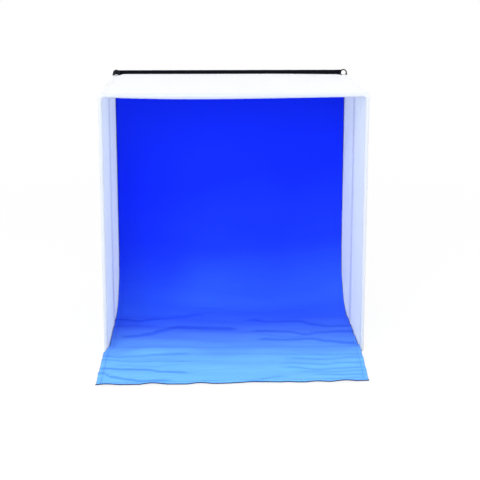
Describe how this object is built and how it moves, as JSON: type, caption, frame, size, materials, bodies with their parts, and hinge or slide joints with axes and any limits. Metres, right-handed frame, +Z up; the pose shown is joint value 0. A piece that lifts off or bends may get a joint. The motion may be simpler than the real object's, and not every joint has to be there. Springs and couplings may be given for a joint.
{
  "type": "light tent",
  "caption": "Folding table-top light tent with a black rigid back, creased white side walls, a soft roof, a wire front hoop and a blue sweep backdrop.",
  "frame": {"origin": "middle of the tent's floor between the board's rear face and the hoop's front face, on the table", "axes": "+X right as seen from the open front, -Y out of the open front, +Z up"},
  "size_m": [0.4008, 0.4618, 0.4082],
  "materials": {
    "white_nylon": "translucent plain-woven nylon",
    "black_nylon": "coated plain-woven nylon, slight sheen",
    "blue_cloth": "matt non-shiny woven cloth with soft folds",
    "spring_steel": "bright drawn wire",
    "fibreboard": "hard-pressed board",
    "hook_and_loop": "fuzzy hook-and-loop tape",
    "black_webbing": "ribbed webbing",
    "black_elastic": "braided elastic cord",
    "white_plastic": "smooth moulded plastic"
  },
  "bodies": {
    "back": {"back_board": "fibreboard", "back_lining": "white_nylon", "back_cover": "black_nylon", "back_binding": "black_nylon", "backdrop_hook_strip": "hook_and_loop", "backdrop_loop_strip": "hook_and_loop", "backdrop": "blue_cloth", "roof_panel": "white_nylon", "floor_panel": "white_nylon", "left_corner_button": "white_plastic", "right_corner_button": "white_plastic", "left_elastic_loop": "black_elastic", "right_elastic_loop": "black_elastic", "carry_handle": "black_webbing", "left_handle_patch": "black_nylon", "right_handle_patch": "black_nylon", "left_rear_hinge_tape": "white_nylon", "right_rear_hinge_tape": "white_nylon"},
    "left_rear_wall": {"left_rear_panel": "white_nylon", "left_rear_wire": "spring_steel", "left_rear_crease_tape": "white_nylon"},
    "left_front_wall": {"left_front_panel": "white_nylon", "left_front_wire": "spring_steel", "left_front_crease_tape": "white_nylon"},
    "front_hoop": {"hoop_sleeve": "white_nylon", "hoop_wire": "spring_steel", "left_front_hinge_tape": "white_nylon", "right_front_hinge_tape": "white_nylon"},
    "right_rear_wall": {"right_rear_panel": "white_nylon", "right_rear_wire": "spring_steel", "right_rear_crease_tape": "white_nylon"},
    "right_front_wall": {"right_front_panel": "white_nylon", "right_front_wire": "spring_steel", "right_front_crease_tape": "white_nylon"}
  },
  "joints": [
    {"name": "left_rear_fold", "type": "hinge", "parent": "back", "child": "left_rear_wall", "pos_m": [-0.19445, 0.1414, 0.2], "axis": [0, 0, 1], "range_deg": [0, 90], "deforming": ["roof_panel", "floor_panel", "backdrop"]},
    {"name": "left_front_fold", "type": "hinge", "parent": "left_rear_wall", "child": "left_front_wall", "pos_m": [-0.20065, -0.0006, 0.2], "axis": [0, 0, 1], "range_deg": [-180, 0]},
    {"name": "front_hoop_carry", "type": "hinge", "parent": "left_front_wall", "child": "front_hoop", "pos_m": [-0.19445, -0.1426, 0.2], "axis": [0, 0, 1], "range_deg": [0, 90]},
    {"name": "right_rear_fold", "type": "hinge", "parent": "back", "child": "right_rear_wall", "pos_m": [0.19445, 0.1414, 0.2], "axis": [0, 0, 1], "range_deg": [-90, 0]},
    {"name": "right_front_fold", "type": "hinge", "parent": "right_rear_wall", "child": "right_front_wall", "pos_m": [0.20065, -0.0006, 0.2], "axis": [0, 0, 1], "range_deg": [0, 180]}
  ],
  "couplings": [
    {"joint": "left_front_fold", "follows": "left_rear_fold", "ratio": -2},
    {"joint": "front_hoop_carry", "follows": "left_rear_fold", "ratio": 1},
    {"joint": "right_rear_fold", "follows": "left_rear_fold", "ratio": -1},
    {"joint": "right_front_fold", "follows": "left_rear_fold", "ratio": 2}
  ]
}
